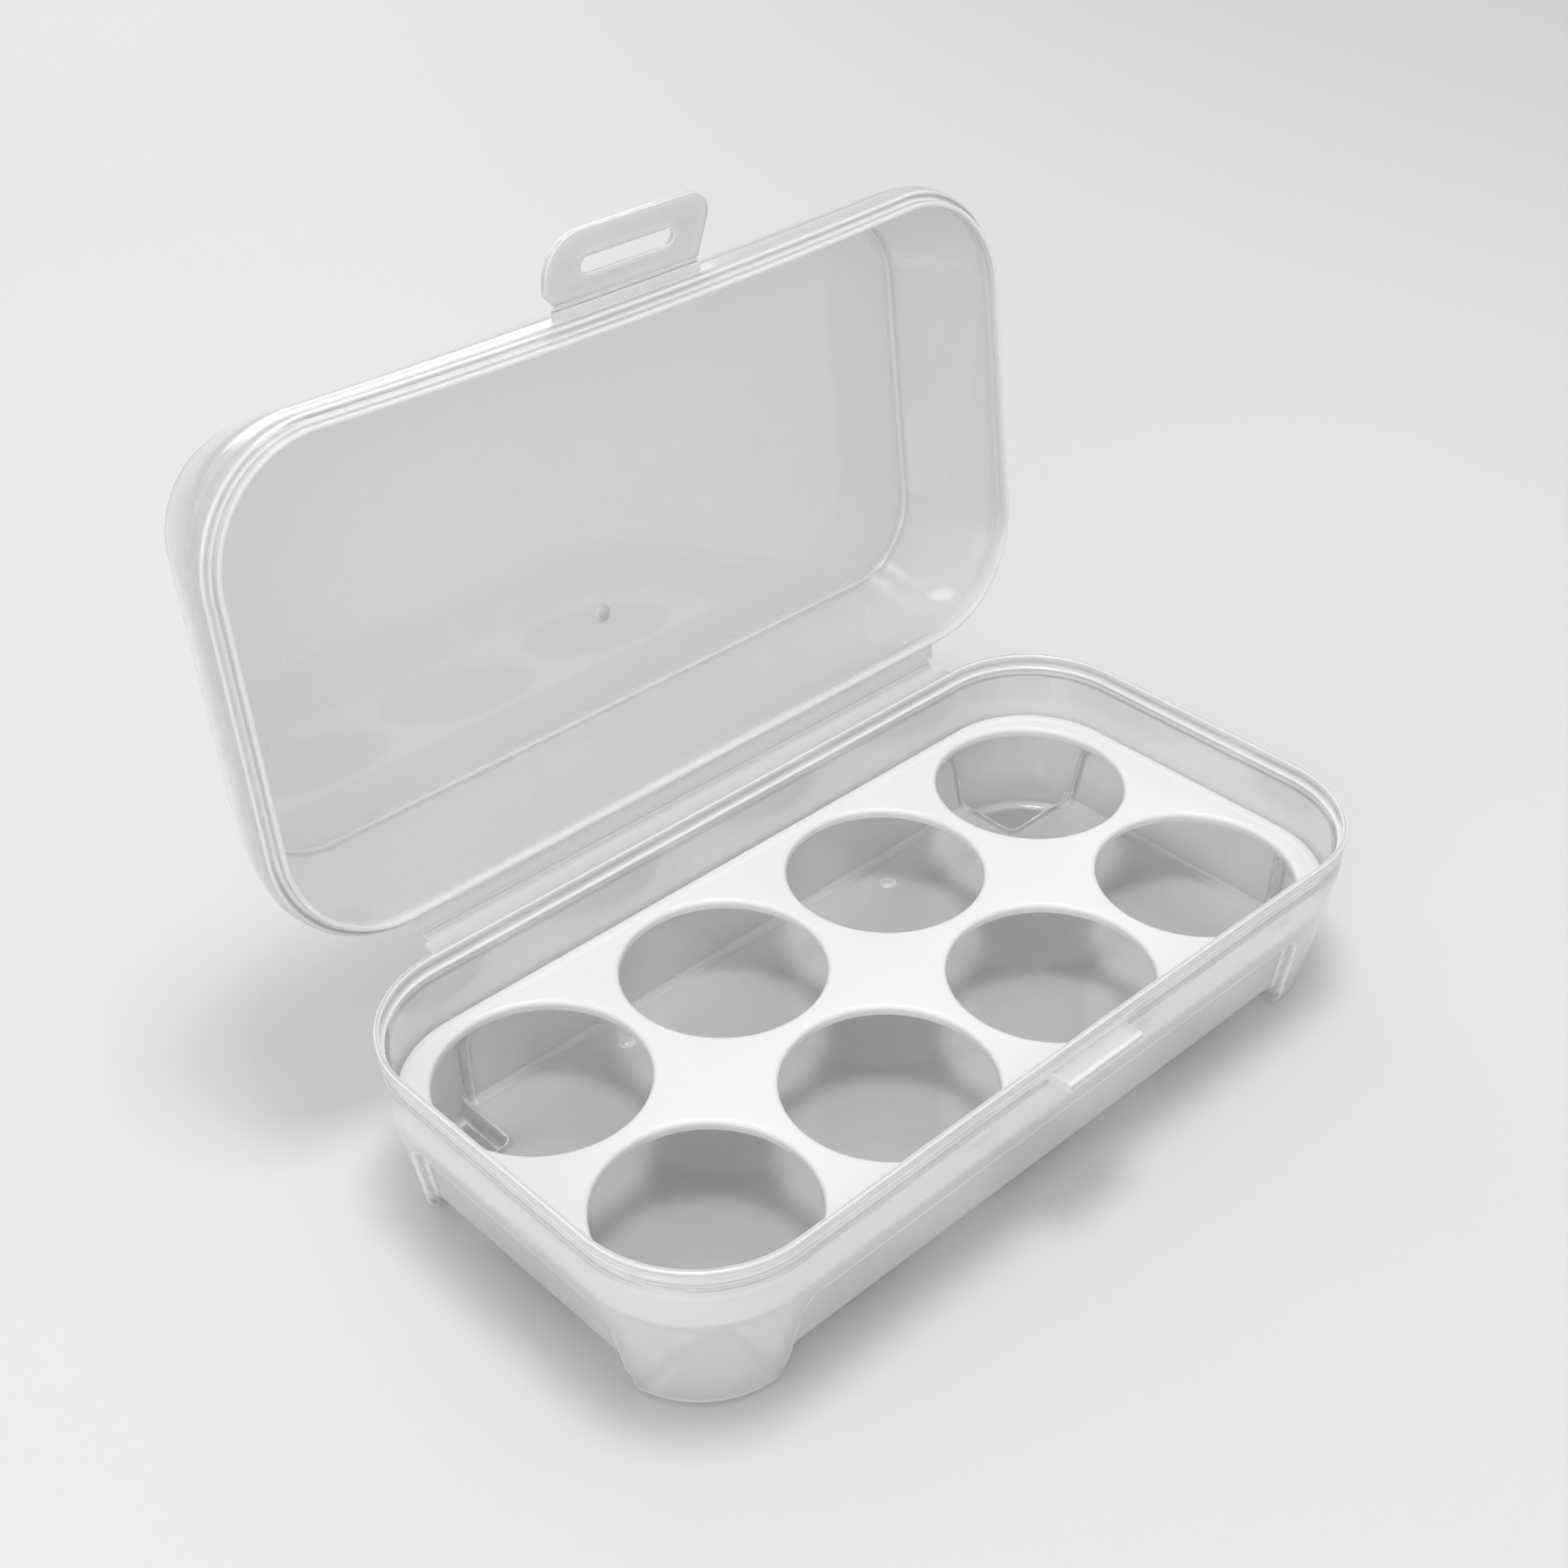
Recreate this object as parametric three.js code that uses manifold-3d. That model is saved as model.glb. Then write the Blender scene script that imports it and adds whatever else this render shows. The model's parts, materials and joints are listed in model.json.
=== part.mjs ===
// Clamshell egg box for eight eggs: a shallow base on four corner feet, a loose egg plate with
// round holes, a deep lid on a double-fold film hinge, and a slotted latch tab on the lid.
// Millimetres, +Z up, +X along the box, +Y towards the hinge. The model stands as the box does
// with its lid open. The functions place pieces from the middle of the base's footprint, and the
// last step moves everything along Y, to put the origin under the middle of the open box.
import * as THREE from 'three';
import { mergeVertices } from 'three/addons/utils/BufferGeometryUtils.js';
import Module from 'manifold-3d';

// Egg plate
const EGG_HOLE_RADIUS = 21;
const HOLE_PITCH = 46.4;
const HOLE_COLUMNS = 4;
const HOLE_ROWS = 2;
const PLATE_END_MARGIN = 5.75;
const PLATE_SIDE_MARGIN = 4.1;
const PLATE_THICK = 1.2;
const PLATE_SKIRT_DEPTH = 1.6;
const PLATE_SKIRT_THICK = 1.2;
const HOLE_COLLAR_DEPTH = 2.2;
const HOLE_COLLAR_THICK = 1.0;
const PLATE_TAB_MIDDLE_X = -22;
const PLATE_TAB_HALF = 2.0;
const PLATE_TAB_REACH = 0.35;

// Base
const WALL = 1.0;
const PLATE_END_GAP = 0.45;
const PLATE_SIDE_GAP = 0.7;
const PLATE_REST_GAP = 0.3;
const CORNER_RADIUS = 25.5;
const FOOT_HEIGHT = 4.2;
const FLOOR_THICK = 1.2;
const PLATE_ABOVE_FLOOR = 19.6;
const RIM_ABOVE_PLATE = 15;
const LIP_THICK = 1.1;
const LIP_HEIGHT = 3.6;
const REBATE_DEPTH = 3.0;
const NECK_INSET = 0.8;
const NECK_HEIGHT = 1.2;
const SHOULDER_INSET = 0.2;
const SHOULDER_HEIGHT = 10.2;
const WALL_INSET_AT_PLATE = 1.1;
const WALL_SLOPE = 0.14;
const WALL_CURVE = 0.0015;
const FOOT_ROUND = 0.9;
const BASE_FRONT_BOW = 0.5;

// Recessed wall panels between the feet
const FOOT_REACH_X = 28;
const FOOT_REACH_Y = 23.2;
const FOOT_TAPER = 1.6;
const RECESS_DEPTH = 2.0;
const RECESS_RADIUS = 5;

// Lid, with depths measured from its rim edge
const LID_WALL = 1.1;
const COLLAR_THICK = 1.0;
const COLLAR_GAP = 0.35;
const COLLAR_HEIGHT = 2.25;
const LID_REST_GAP = 0.35;
const LID_SHOULDER_REACH = 0.3;
const LID_SHOULDER_WALL = 2.1;
const LID_SWELL = 0.9;
const LID_SWELL_DEPTH = 6;
const LID_TAPER = 0.147;
const LID_TAPER_POWER = 1.3;
const LID_DEPTH_INSIDE = 27.5;
const LID_PANEL_THICK = 1.2;
const LID_TOP_ROUND = 1.6;
const LID_PANEL_FILLET = 0.6;
const LID_FRONT_BOW = 1.6;

// Hinge
const HINGE_HALF_LENGTH = 72.2;
const STRIP_HALF_LENGTH = 71;
const FLANGE_THICK = 1.2;
const FLANGE_REACH = 3.6;
const STRIP_THICK = 0.9;
const FOLD_SPACING = 2.2;
const GROOVE_HALF = 0.6;
const FILM_THICK = 0.4;
const FILM_GAP = 0.3;
const LID_OPEN_DEGREES = 97.7;

// Latch tab and catch, with lengths along the tab measured from its fold
const TAB_ROOT_HALF = 17.7;
const TAB_HALF_WIDTH = 19.9;
const TAB_LENGTH = 14.4;
const TAB_LEFT_RADIUS = 8.5;
const TAB_RIGHT_RADIUS = 5;
const TAB_LEFT_FLARE = 3.2;
const TAB_RIGHT_FLARE = 9;
const TAB_THICK = 1.0;
const TAB_BEAD_WIDTH = 2.0;
const TAB_BEAD_RISE = 0.4;
const TAB_ROOT_GAP = 0.8;
const TAB_OPEN_DEGREES = 12;
const LATCH_FLANGE_REACH = 2.8;
const LATCH_FOLD_ABOVE_RIM = 2.6;
const SLOT_HALF = 11.3;
const SLOT_HEIGHT = 3.4;
const SLOT_FROM_FOLD = 6.9;
const CATCH_SIDE_GAP = 1.0;
const CATCH_THICK = 2.0;
const CATCH_TOP_GAP = 0.4;
const CATCH_BEYOND_TAB = 2.2;

// Places worked out from the sizes above
const plateHalfX = (HOLE_COLUMNS - 1) / 2 * HOLE_PITCH + EGG_HOLE_RADIUS + PLATE_END_MARGIN;
const plateHalfY = (HOLE_ROWS - 1) / 2 * HOLE_PITCH + EGG_HOLE_RADIUS + PLATE_SIDE_MARGIN;
const rimHalfX = plateHalfX + PLATE_END_GAP + WALL + WALL_INSET_AT_PLATE;
const rimHalfY = plateHalfY + PLATE_SIDE_GAP + WALL + WALL_INSET_AT_PLATE;
const floorTop = FOOT_HEIGHT + FLOOR_THICK;
const plateTop = floorTop + PLATE_ABOVE_FLOOR;
const rimTop = plateTop + RIM_ABOVE_PLATE;
const neckTop = rimTop - LIP_HEIGHT;
const shoulderTop = neckTop - NECK_HEIGHT;
const shoulderFoot = shoulderTop - SHOULDER_HEIGHT;
const recessTop = plateTop - PLATE_SKIRT_DEPTH - PLATE_REST_GAP - WALL;
const shoulderFootInset = wallInset(shoulderFoot);

const foldY = rimHalfY + FLANGE_REACH + GROOVE_HALF;
const foldZ = rimTop - FLANGE_THICK / 2;
const lidFoldZ = foldZ + FOLD_SPACING;
const lidEdgeZ = rimTop + LID_REST_GAP - COLLAR_HEIGHT;
const collarInset = LIP_THICK + COLLAR_GAP;
const latchFoldY = -(rimHalfY - LID_FRONT_BOW + LATCH_FLANGE_REACH + GROOVE_HALF);
const latchFoldZ = rimTop + LATCH_FOLD_ABOVE_RIM;
const slotTopZ = latchFoldZ - SLOT_FROM_FOLD + SLOT_HEIGHT / 2;
const catchTop = slotTopZ - CATCH_TOP_GAP;
const catchTip = latchFoldY - TAB_THICK / 2 - CATCH_BEYOND_TAB;
const catchHalf = SLOT_HALF - CATCH_SIDE_GAP;

const CORNER_STEPS = 12;
const FRONT_STEPS = 8;
const LID_WALL_STEPS = 5;
const LID_ROUND_STEPS = 3;
const OVERSHOOT = 5;

const frosted = new THREE.MeshStandardMaterial({ color: 0xdfe1e3, roughness: 0.35, metalness: 0 });
const white = new THREE.MeshStandardMaterial({ color: 0xf4f4f2, roughness: 0.45, metalness: 0 });
const filmMaterial = new THREE.MeshStandardMaterial({ color: 0xe8eaec, roughness: 0.4, metalness: 0 });

const wasm = await Module();
wasm.setup();

function toSolid(geometry) {
  const bare = geometry.clone();
  bare.deleteAttribute('normal');
  bare.deleteAttribute('uv');
  const merged = mergeVertices(bare, 1e-4);
  return new wasm.Manifold(new wasm.Mesh({
    numProp: 3,
    vertProperties: new Float32Array(merged.attributes.position.array),
    triVerts: new Uint32Array(merged.index.array),
  }));
}

function toGeometry(solid) {
  const mesh = solid.getMesh();
  const geometry = new THREE.BufferGeometry();
  geometry.setAttribute('position', new THREE.BufferAttribute(new Float32Array(mesh.vertProperties), 3));
  geometry.setIndex(new THREE.BufferAttribute(new Uint32Array(mesh.triVerts), 1));
  const flat = geometry.toNonIndexed();
  flat.computeVertexNormals();
  return flat;
}

function box(x0, x1, y0, y1, z0, z1) {
  const geometry = new THREE.BoxGeometry(x1 - x0, y1 - y0, z1 - z0);
  geometry.translate((x0 + x1) / 2, (y0 + y1) / 2, (z0 + z1) / 2);
  return toSolid(geometry);
}

// One level of a rounded rectangle, as points that run round it anticlockwise seen from above.
// The straight front side bends inwards by the bow, most at its middle.
function ring(halfX, halfY, radius, z, bow) {
  const points = [];
  const straight = halfX - radius;
  const quarters = [[1, 1], [-1, 1], [-1, -1], [1, -1]];
  quarters.forEach(([sx, sy], quarter) => {
    for (let step = 0; step <= CORNER_STEPS; step += 1) {
      const angle = (quarter + step / CORNER_STEPS) * Math.PI / 2;
      const x = sx * straight + radius * Math.cos(angle);
      const y = sy * (halfY - radius) + radius * Math.sin(angle);
      points.push(x, y, z);
    }
    if (quarter === 2) {
      for (let step = 1; step < FRONT_STEPS; step += 1) {
        const share = 2 * step / FRONT_STEPS - 1;
        points.push(share * straight, -halfY + bow * (1 - share * share), z);
      }
    }
  });
  return points;
}

// A solid through rounded rectangles that are the rim's outline moved in by each level's inset.
function stack(levels, bowAt) {
  const positions = [];
  levels.forEach(({ inset, z }) => {
    const radius = Math.max(CORNER_RADIUS - inset, 1);
    positions.push(...ring(rimHalfX - inset, rimHalfY - inset, radius, z, bowAt(z)));
  });
  const count = 4 * (CORNER_STEPS + 1) + FRONT_STEPS - 1;
  const index = [];
  for (let level = 0; level < levels.length - 1; level += 1) {
    for (let i = 0; i < count; i += 1) {
      const a = level * count + i;
      const b = level * count + (i + 1) % count;
      index.push(a, b, b + count, a, b + count, a + count);
    }
  }
  const top = (levels.length - 1) * count;
  for (let i = 1; i < count - 1; i += 1) {
    index.push(0, i + 1, i);
    index.push(top, top + i, top + i + 1);
  }
  const geometry = new THREE.BufferGeometry();
  geometry.setAttribute('position', new THREE.Float32BufferAttribute(positions, 3));
  geometry.setIndex(index);
  return toSolid(geometry);
}

// How far the outside of the base wall has come in at a height below the shoulder.
function wallInset(z) {
  const below = plateTop - z;
  return WALL_INSET_AT_PLATE + WALL_SLOPE * below + WALL_CURVE * below * below;
}

// The front walls bow inwards, most at the rims and not at all at the floor and the lid's panel.
function baseBow(z) {
  return BASE_FRONT_BOW * Math.min(Math.max((z - floorTop) / (rimTop - floorTop), 0), 1);
}

function lidBow(z) {
  return LID_FRONT_BOW * Math.min(1 - (z - lidEdgeZ) / LID_DEPTH_INSIDE, 1);
}

function shoulderLevels() {
  return [
    { inset: shoulderFootInset, z: shoulderFoot },
    { inset: 0.5 * (shoulderFootInset + SHOULDER_INSET), z: shoulderFoot + 0.32 * SHOULDER_HEIGHT },
    { inset: SHOULDER_INSET, z: shoulderFoot + 0.7 * SHOULDER_HEIGHT },
    { inset: 0.5 * (SHOULDER_INSET + NECK_INSET), z: shoulderFoot + 0.92 * SHOULDER_HEIGHT },
    { inset: NECK_INSET, z: shoulderTop },
  ];
}

function footLevels(extraInset) {
  return [
    { inset: wallInset(0) + FOOT_ROUND + extraInset, z: 0 },
    { inset: wallInset(FOOT_ROUND) + extraInset, z: FOOT_ROUND },
    { inset: wallInset(FOOT_HEIGHT) + extraInset, z: FOOT_HEIGHT },
    { inset: wallInset(shoulderFoot / 2) + extraInset, z: shoulderFoot / 2 },
  ];
}

function baseOutside() {
  return stack([
    ...footLevels(0),
    ...shoulderLevels(),
    { inset: NECK_INSET, z: neckTop },
    { inset: 0, z: neckTop + 0.3 },
    { inset: 0, z: rimTop },
  ], baseBow);
}

function baseInside() {
  const ledge = rimTop - REBATE_DEPTH;
  return stack([
    { inset: wallInset(FLOOR_THICK) + WALL + FOOT_ROUND, z: FLOOR_THICK },
    { inset: wallInset(FLOOR_THICK + FOOT_ROUND) + WALL, z: FLOOR_THICK + FOOT_ROUND },
    { inset: wallInset(shoulderFoot / 2) + WALL, z: shoulderFoot / 2 },
    { inset: shoulderFootInset + WALL, z: shoulderFoot },
    { inset: NECK_INSET + WALL, z: ledge - 0.3 },
    { inset: NECK_INSET + WALL, z: ledge },
    { inset: LIP_THICK, z: ledge + 0.3 },
    { inset: LIP_THICK, z: rimTop + OVERSHOOT },
  ], baseBow);
}

// The inner face of the recessed panels: the wall's own curve, moved in by the recess.
function panelFace(extraInset) {
  return stack([
    { inset: wallInset(-OVERSHOOT) + extraInset, z: -OVERSHOOT },
    { inset: wallInset(shoulderFoot / 2) + extraInset, z: shoulderFoot / 2 },
    { inset: shoulderFootInset + extraInset, z: shoulderFoot },
  ], baseBow);
}

// A bar through the whole box, shaped like the recess seen from the side: wider at the foot.
function recessBar(halfTop, grow, along) {
  const shape = new THREE.Shape();
  const top = recessTop + grow;
  const halfFoot = halfTop + FOOT_TAPER;
  const radius = RECESS_RADIUS + grow;
  shape.moveTo(-halfFoot - grow, -OVERSHOOT);
  shape.lineTo(halfFoot + grow, -OVERSHOOT);
  shape.lineTo(halfTop + grow, top - radius);
  shape.quadraticCurveTo(halfTop + grow, top, halfTop + grow - radius, top);
  shape.lineTo(-halfTop - grow + radius, top);
  shape.quadraticCurveTo(-halfTop - grow, top, -halfTop - grow, top - radius);
  shape.closePath();
  const reach = 2 * (rimHalfX + OVERSHOOT);
  const geometry = new THREE.ExtrudeGeometry(shape, { depth: reach, bevelEnabled: false, curveSegments: 6 });
  geometry.translate(0, 0, -reach / 2);
  geometry.rotateX(Math.PI / 2);
  if (along === 'x') {
    geometry.rotateZ(Math.PI / 2);
  }
  return toSolid(geometry);
}

function recessBars(grow) {
  const across = recessBar(rimHalfX - FOOT_REACH_X, grow, 'y');
  const lengthwise = recessBar(rimHalfY - FOOT_REACH_Y, grow, 'x');
  return across.add(lengthwise);
}

// The space under the floor between the four feet, grown upwards and outwards for the inside.
function underFloor(grow) {
  const footX = rimHalfX - FOOT_REACH_X + grow;
  const footY = rimHalfY - FOOT_REACH_Y + grow;
  const reachX = rimHalfX + OVERSHOOT;
  const reachY = rimHalfY + OVERSHOOT;
  const height = FOOT_HEIGHT + grow;
  const across = box(-footX, footX, -reachY, reachY, -OVERSHOOT, height);
  return across.add(box(-reachX, reachX, -footY, footY, -OVERSHOOT, height));
}

function makeBaseShell() {
  const recess = recessBars(0).subtract(panelFace(RECESS_DEPTH));
  const outside = baseOutside().subtract(recess).subtract(underFloor(0));
  const recessInside = recessBars(WALL).subtract(panelFace(RECESS_DEPTH + WALL));
  const inside = baseInside().subtract(recessInside).subtract(underFloor(FLOOR_THICK));
  const flange = box(
    -HINGE_HALF_LENGTH, HINGE_HALF_LENGTH,
    rimHalfY - LIP_THICK / 2, foldY - GROOVE_HALF,
    rimTop - FLANGE_THICK, rimTop,
  );
  const catchBlock = box(
    -catchHalf, catchHalf,
    catchTip, -(rimHalfY - BASE_FRONT_BOW - NECK_INSET - WALL / 2),
    catchTop - CATCH_THICK, catchTop,
  );
  return outside.subtract(inside).add(flange).add(catchBlock);
}

// How far the outside of the lid wall has come in at a depth from the rim edge.
function lidInset(depth) {
  const beyond = Math.max(depth - LID_SWELL_DEPTH, 0);
  return LID_TAPER * beyond ** LID_TAPER_POWER - LID_SWELL;
}

function lidOutside() {
  const panelTop = LID_DEPTH_INSIDE + LID_PANEL_THICK;
  const roundStart = panelTop - LID_TOP_ROUND;
  const levels = [
    { inset: collarInset, z: lidEdgeZ },
    { inset: collarInset, z: lidEdgeZ + COLLAR_HEIGHT },
    { inset: -LID_SHOULDER_REACH, z: lidEdgeZ + COLLAR_HEIGHT + 0.1 },
    { inset: -0.5 * (LID_SHOULDER_REACH + LID_SWELL), z: lidEdgeZ + COLLAR_HEIGHT + 0.9 },
  ];
  for (let step = 0; step <= LID_WALL_STEPS; step += 1) {
    const depth = LID_SWELL_DEPTH + (roundStart - LID_SWELL_DEPTH) * step / LID_WALL_STEPS;
    levels.push({ inset: lidInset(depth), z: lidEdgeZ + depth });
  }
  for (let step = 1; step <= LID_ROUND_STEPS; step += 1) {
    const angle = step / LID_ROUND_STEPS * Math.PI / 2;
    levels.push({
      inset: lidInset(roundStart) + LID_TOP_ROUND * (1 - Math.cos(angle)),
      z: lidEdgeZ + roundStart + LID_TOP_ROUND * Math.sin(angle),
    });
  }
  return stack(levels, lidBow);
}

function lidInside() {
  const collarInside = collarInset + COLLAR_THICK;
  const filletStart = LID_DEPTH_INSIDE - LID_PANEL_FILLET;
  const levels = [
    { inset: collarInside, z: lidEdgeZ - OVERSHOOT },
    { inset: collarInside, z: lidEdgeZ + COLLAR_HEIGHT + 0.9 },
  ];
  for (let step = 0; step <= LID_WALL_STEPS; step += 1) {
    const share = step / LID_WALL_STEPS;
    const depth = LID_SWELL_DEPTH + (filletStart - LID_SWELL_DEPTH) * share;
    const wall = LID_SHOULDER_WALL + (LID_WALL - LID_SHOULDER_WALL) * share;
    levels.push({ inset: lidInset(depth) + wall, z: lidEdgeZ + depth });
  }
  levels.push({
    inset: lidInset(filletStart) + LID_WALL + LID_PANEL_FILLET,
    z: lidEdgeZ + LID_DEPTH_INSIDE,
  });
  return stack(levels, lidBow);
}

function makeLidShell() {
  const hingeFlange = box(
    -HINGE_HALF_LENGTH, HINGE_HALF_LENGTH,
    rimHalfY - LID_WALL / 2, foldY - GROOVE_HALF,
    lidFoldZ - FLANGE_THICK / 2, lidFoldZ + FLANGE_THICK / 2,
  );
  const latchFlange = box(
    -TAB_ROOT_HALF, TAB_ROOT_HALF,
    latchFoldY + GROOVE_HALF, -(rimHalfY - LID_FRONT_BOW - LID_WALL / 2),
    latchFoldZ - FLANGE_THICK / 2, latchFoldZ + FLANGE_THICK / 2,
  );
  return lidOutside().subtract(lidInside()).add(hingeFlange).add(latchFlange);
}

// A bar of film or strip along X, centred on its own pivot line.
function makeBar(halfLength, y0, y1, thick) {
  return box(-halfLength, halfLength, y0, y1, -thick / 2, thick / 2);
}

// The tab's outline. Its left side flares out just past the fold, its right side near the tip.
function tabShape(inward) {
  const half = TAB_HALF_WIDTH - inward;
  const root = TAB_ROOT_HALF - inward;
  const tip = TAB_LENGTH - inward;
  const left = TAB_LEFT_RADIUS - inward;
  const right = TAB_RIGHT_RADIUS - inward;
  const shape = new THREE.Shape();
  shape.moveTo(-root, -TAB_ROOT_GAP);
  shape.lineTo(-half, -TAB_LEFT_FLARE);
  shape.lineTo(-half, -tip + left);
  shape.absarc(-half + left, -tip + left, left, Math.PI, 1.5 * Math.PI, false);
  shape.absarc(half - right, -tip + right, right, 1.5 * Math.PI, 2 * Math.PI, false);
  shape.lineTo(half, -TAB_RIGHT_FLARE);
  shape.lineTo(root, -TAB_ROOT_GAP);
  shape.closePath();
  return shape;
}

function slotPath(half, height) {
  const radius = height / 2;
  const path = new THREE.Path();
  path.absarc(-half + radius, -SLOT_FROM_FOLD, radius, 1.5 * Math.PI, 0.5 * Math.PI, true);
  path.absarc(half - radius, -SLOT_FROM_FOLD, radius, 0.5 * Math.PI, -0.5 * Math.PI, true);
  path.closePath();
  return path;
}

function extrudeFlat(shape, z0, z1) {
  const options = { depth: z1 - z0, bevelEnabled: false, curveSegments: 8 };
  const geometry = new THREE.ExtrudeGeometry(shape, options);
  geometry.translate(0, 0, z0);
  return toSolid(geometry);
}

function makeLatchTab() {
  const sheet = tabShape(0);
  sheet.holes.push(slotPath(SLOT_HALF, SLOT_HEIGHT));
  const beadTop = TAB_THICK / 2 + TAB_BEAD_RISE;
  const bead = extrudeFlat(tabShape(0), TAB_THICK / 4, beadTop);
  const well = extrudeFlat(tabShape(TAB_BEAD_WIDTH), 0, beadTop + OVERSHOOT);
  const root = box(-TAB_HALF_WIDTH, TAB_HALF_WIDTH, -TAB_LEFT_FLARE, 0, 0, beadTop + OVERSHOOT);
  return extrudeFlat(sheet, -TAB_THICK / 2, TAB_THICK / 2).add(bead.subtract(well).subtract(root));
}

function roundedPlate(halfX, halfY, radius) {
  const shape = new THREE.Shape();
  shape.absarc(halfX - radius, halfY - radius, radius, 0, 0.5 * Math.PI, false);
  shape.absarc(-halfX + radius, halfY - radius, radius, 0.5 * Math.PI, Math.PI, false);
  shape.absarc(-halfX + radius, -halfY + radius, radius, Math.PI, 1.5 * Math.PI, false);
  shape.absarc(halfX - radius, -halfY + radius, radius, 1.5 * Math.PI, 2 * Math.PI, false);
  shape.closePath();
  return shape;
}

function cylinder(radius, x, y, z0, z1) {
  const geometry = new THREE.CylinderGeometry(radius, radius, z1 - z0, 48);
  geometry.rotateX(Math.PI / 2);
  geometry.translate(x, y, (z0 + z1) / 2);
  return toSolid(geometry);
}

function eggHoleCentres() {
  const centres = [];
  for (let row = 0; row < HOLE_ROWS; row += 1) {
    for (let column = 0; column < HOLE_COLUMNS; column += 1) {
      const x = (column - (HOLE_COLUMNS - 1) / 2) * HOLE_PITCH;
      const y = (row - (HOLE_ROWS - 1) / 2) * HOLE_PITCH;
      centres.push([x, y]);
    }
  }
  return centres;
}

function makeEggPlate() {
  const radius = CORNER_RADIUS - WALL_INSET_AT_PLATE - WALL - PLATE_END_GAP;
  const outline = roundedPlate(plateHalfX, plateHalfY, radius);
  const hollow = roundedPlate(
    plateHalfX - PLATE_SKIRT_THICK, plateHalfY - PLATE_SKIRT_THICK, radius - PLATE_SKIRT_THICK,
  );
  let plate = extrudeFlat(outline, -PLATE_SKIRT_DEPTH, 0);
  plate = plate.subtract(extrudeFlat(hollow, -PLATE_SKIRT_DEPTH - OVERSHOOT, -PLATE_THICK));
  eggHoleCentres().forEach(([x, y]) => {
    const collarRadius = EGG_HOLE_RADIUS + HOLE_COLLAR_THICK;
    plate = plate.add(cylinder(collarRadius, x, y, -HOLE_COLLAR_DEPTH, -PLATE_THICK / 2));
  });
  eggHoleCentres().forEach(([x, y]) => {
    plate = plate.subtract(cylinder(EGG_HOLE_RADIUS, x, y, -HOLE_COLLAR_DEPTH - OVERSHOOT, OVERSHOOT));
  });
  const nub = box(
    PLATE_TAB_MIDDLE_X - PLATE_TAB_HALF, PLATE_TAB_MIDDLE_X + PLATE_TAB_HALF,
    plateHalfY - PLATE_SKIRT_THICK, plateHalfY + PLATE_TAB_REACH,
    -PLATE_THICK, 0,
  );
  return plate.add(nub);
}

function makeFilm(halfLength) {
  const filmHalf = GROOVE_HALF - FILM_GAP;
  return makeBar(halfLength, -filmHalf, filmHalf, FILM_THICK);
}

function addPiece(parent, name, solid, material) {
  const mesh = new THREE.Mesh(toGeometry(solid), material);
  mesh.name = name;
  parent.add(mesh);
  return mesh;
}

function pivot(parent, y, z, degrees) {
  const group = new THREE.Group();
  group.position.set(0, y, z);
  group.rotation.x = THREE.MathUtils.degToRad(degrees);
  parent.add(group);
  return group;
}

const eggBox = new THREE.Group();

addPiece(eggBox, 'base_shell', makeBaseShell(), frosted);
const plateMesh = addPiece(eggBox, 'egg_plate', makeEggPlate(), white);
plateMesh.position.z = plateTop;

// Each fold takes half of the lid's opening: film in the fold, then the strip, then the lid.
const baseFilm = pivot(eggBox, foldY, foldZ, 0);
addPiece(baseFilm, 'base_hinge_film', makeFilm(STRIP_HALF_LENGTH), filmMaterial);
const strip = pivot(eggBox, foldY, foldZ, 90 - LID_OPEN_DEGREES / 2);
const stripSolid = makeBar(STRIP_HALF_LENGTH, GROOVE_HALF, FOLD_SPACING - GROOVE_HALF, STRIP_THICK);
addPiece(strip, 'hinge_strip', stripSolid, frosted);
const lidFilm = pivot(strip, FOLD_SPACING, 0, 0);
addPiece(lidFilm, 'lid_hinge_film', makeFilm(STRIP_HALF_LENGTH), filmMaterial);

const lid = pivot(strip, FOLD_SPACING, 0, -90 - LID_OPEN_DEGREES / 2);
const lidShell = makeLidShell().translate([0, -foldY, -lidFoldZ]);
addPiece(lid, 'lid_shell', lidShell, frosted);
const latchFilm = pivot(lid, latchFoldY - foldY, latchFoldZ - lidFoldZ, 0);
addPiece(latchFilm, 'latch_film', makeFilm(TAB_ROOT_HALF), filmMaterial);
const tab = pivot(lid, latchFoldY - foldY, latchFoldZ - lidFoldZ, TAB_OPEN_DEGREES);
addPiece(tab, 'latch_tab', makeLatchTab(), frosted);

const footprint = new THREE.Box3().setFromObject(eggBox, true);
eggBox.position.y = -(footprint.min.y + footprint.max.y) / 2;

export default eggBox;
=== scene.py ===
"""Clear clamshell egg box, shown open, with a loose white egg plate.

Shapes are worked out in millimetres from the middle of the base's footprint, with the lid shut.
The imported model's joints then give each piece its place in the row frame, in metres.
"""
import json
import math

import bmesh
import bpy
import numpy as np
from mathutils import Matrix, Vector


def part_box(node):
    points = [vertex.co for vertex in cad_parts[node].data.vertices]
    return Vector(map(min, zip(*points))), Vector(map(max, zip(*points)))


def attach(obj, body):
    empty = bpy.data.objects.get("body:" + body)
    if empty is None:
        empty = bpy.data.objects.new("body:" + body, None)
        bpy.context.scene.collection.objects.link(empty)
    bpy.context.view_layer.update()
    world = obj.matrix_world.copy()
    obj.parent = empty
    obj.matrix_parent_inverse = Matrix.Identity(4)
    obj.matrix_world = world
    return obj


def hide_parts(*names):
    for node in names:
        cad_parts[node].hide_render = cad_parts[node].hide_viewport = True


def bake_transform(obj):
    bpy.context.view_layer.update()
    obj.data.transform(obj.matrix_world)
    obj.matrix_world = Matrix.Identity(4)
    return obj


MM = 0.001
# The bend layer is the mask of the painted edge highlight in the frosted materials.
EDGE_LAYER = "edge_bend"
EDGE_BENDS = (7.0, 24.0)
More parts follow.
